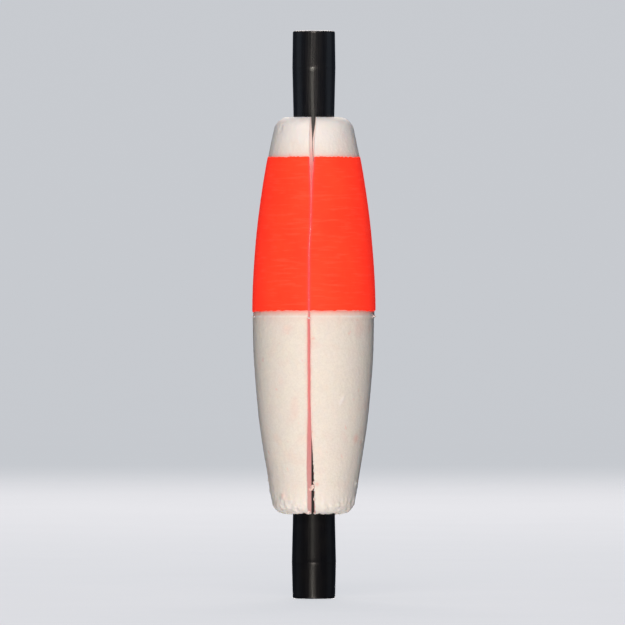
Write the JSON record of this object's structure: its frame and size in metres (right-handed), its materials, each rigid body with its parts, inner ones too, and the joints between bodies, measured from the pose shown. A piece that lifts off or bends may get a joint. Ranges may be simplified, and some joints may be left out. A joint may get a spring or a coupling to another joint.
{
  "type": "fishing float",
  "caption": "Slotted foam fishing float: a barrel body with a painted upper half and a lengthwise line slit, turning on a tubular slotted stem that locks the line in.",
  "frame": {"origin": "the middle of the line bore, which is the middle of the stem's length on the float's axis", "axes": "+Z runs along the stem towards the painted end, and the foam's line slit faces -Y"},
  "size_m": [0.0236, 0.0236, 0.1094],
  "materials": {
    "foam": "matte",
    "paint": "satin",
    "stem": "satin"
  },
  "bodies": {
    "float_body": {"foam_body": "foam", "paint_band": "paint"},
    "lower_stem": {"lower_stem": "stem"},
    "upper_stem": {"upper_stem": "stem"}
  },
  "joints": [
    {"name": "stem_twist", "type": "hinge", "parent": "float_body", "child": "lower_stem", "pos_m": [0, 0, 0], "axis": [0, 0, 1], "continuous": true},
    {"name": "upper_stem_pull", "type": "slide", "parent": "lower_stem", "child": "upper_stem", "axis": [0, 0, 1], "range_m": [0, 0.045]}
  ]
}
